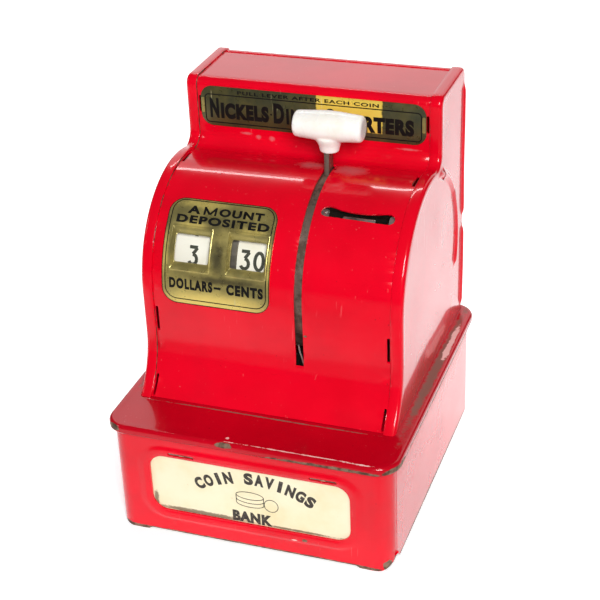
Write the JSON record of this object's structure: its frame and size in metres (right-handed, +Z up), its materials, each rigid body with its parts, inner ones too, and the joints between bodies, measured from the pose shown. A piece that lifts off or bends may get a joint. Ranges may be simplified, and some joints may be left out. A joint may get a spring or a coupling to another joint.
{
  "type": "mechanical coin bank",
  "caption": "Toy cash-register bank: tin casing with a pull-down lever, geared number wheels, a coin slot with chute, a bell and a cash drawer in the base.",
  "frame": {"origin": "centre of the underside, at the bottom of the feet", "axes": "+X to the right as seen from the front, +Y towards the back, +Z up"},
  "size_m": [0.117, 0.128, 0.158],
  "materials": {
    "red_enamel": "gloss",
    "dark_red_enamel": "gloss",
    "bare_tin": "dull tinplate",
    "steel": "satin",
    "grey_steel": "dull, worn",
    "spring_steel": "satin",
    "brass_plate": "tarnished, glossy",
    "brass_gear": "satin",
    "bell_chrome": "polished",
    "white_plastic": "gloss",
    "number_paper": "matt print",
    "cream_card": "matt print"
  },
  "bodies": {
    "casing": {"base_shell": "red_enamel", "base_bottom": "bare_tin", "base_lid": "dark_red_enamel", "left_side_panel": "red_enamel", "right_side_panel": "red_enamel", "front_sheet": "red_enamel", "back_panel": "red_enamel", "name_plate": "brass_plate", "display_plate": "brass_plate", "lever_stop": "steel", "left_frame_plate": "bare_tin", "centre_frame_plate": "bare_tin", "right_frame_plate": "bare_tin", "frame_spacers": "steel", "main_axle": "steel", "counter_shaft": "steel", "holding_pin": "steel", "return_spring": "spring_steel", "bell_gong": "bell_chrome", "bell_post": "steel", "hammer_pin": "steel", "coin_chute": "grey_steel", "gate_pin": "steel", "latch_bracket": "bare_tin", "frame_nuts": "steel", "feet": "bare_tin"},
    "cents": {"cents_wheel": "bare_tin", "cents_band": "number_paper", "cents_sleeve": "brass_gear", "ratchet_wheel": "brass_gear"},
    "counter": {"counter_gear": "brass_gear"},
    "dollars": {"dollars_wheel": "bare_tin", "dollars_band": "number_paper", "dollars_gear": "brass_gear"},
    "lever": {"lever_hub": "grey_steel", "lever_arm": "grey_steel", "slot_cover": "grey_steel", "t_handle": "white_plastic", "drive_pin": "steel"},
    "drive_catch": {"drive_pawl": "steel"},
    "holding_catch": {"holding_pawl": "steel"},
    "hammer": {"bell_hammer": "steel"},
    "gate": {"coin_gate": "steel"},
    "drawer": {"drawer_front": "red_enamel", "drawer_tray": "bare_tin", "card": "cream_card", "card_retainer": "bare_tin"},
    "latch": {"drawer_latch": "steel"}
  },
  "joints": [
    {"name": "lever_pull", "type": "hinge", "parent": "casing", "child": "lever", "pos_m": [0.0115, 0.0097, 0.0905], "axis": [1, 0, 0], "range_deg": [0, 108], "stiffness_Nm_per_rad": 0.012, "springref_deg": -34.38, "deforming": ["return_spring"]},
    {"name": "cents_spin", "type": "hinge", "parent": "casing", "child": "cents", "pos_m": [-0.01, 0.0097, 0.0905], "axis": [1, 0, 0], "continuous": true},
    {"name": "counter_spin", "type": "hinge", "parent": "casing", "child": "counter", "pos_m": [-0.045, 0.0277, 0.0905], "axis": [1, 0, 0], "continuous": true},
    {"name": "dollars_spin", "type": "hinge", "parent": "casing", "child": "dollars", "pos_m": [-0.033, 0.0097, 0.0905], "axis": [1, 0, 0], "continuous": true},
    {"name": "drive_pawl_lift", "type": "hinge", "parent": "lever", "child": "drive_catch", "pos_m": [0.0015, 0.00605, 0.11351], "axis": [-1, 0, 0], "range_deg": [0, 14], "stiffness_Nm_per_rad": 0.0008, "springref_deg": -17.19},
    {"name": "holding_pawl_lift", "type": "hinge", "parent": "casing", "child": "holding_catch", "pos_m": [0.0015, 0.02618, 0.07402], "axis": [-1, 0, 0], "range_deg": [0, 14], "stiffness_Nm_per_rad": 0.0008, "springref_deg": -17.19},
    {"name": "hammer_swing", "type": "hinge", "parent": "casing", "child": "hammer", "pos_m": [0.031, 0.0195, 0.108], "axis": [1, 0, 0], "range_deg": [-12, 4], "stiffness_Nm_per_rad": 0.0008},
    {"name": "coin_gate_tip", "type": "hinge", "parent": "casing", "child": "gate", "pos_m": [0.029, 0.0034, 0.106], "axis": [1, 0, 0], "range_deg": [0, 32], "stiffness_Nm_per_rad": 0.0008, "springref_deg": -22.92},
    {"name": "drawer_slide", "type": "slide", "parent": "casing", "child": "drawer", "axis": [0, -1, 0], "range_m": [0, 0.07]},
    {"name": "latch_swing", "type": "hinge", "parent": "casing", "child": "latch", "pos_m": [-0.0456, 0.038, 0.0534], "axis": [0, 1, 0], "range_deg": [0, 8], "stiffness_Nm_per_rad": 0.002, "springref_deg": -11.46}
  ],
  "couplings": [
    {"joint": "counter_spin", "follows": "cents_spin", "ratio": -0.25},
    {"joint": "dollars_spin", "follows": "cents_spin", "ratio": 0.05}
  ]
}
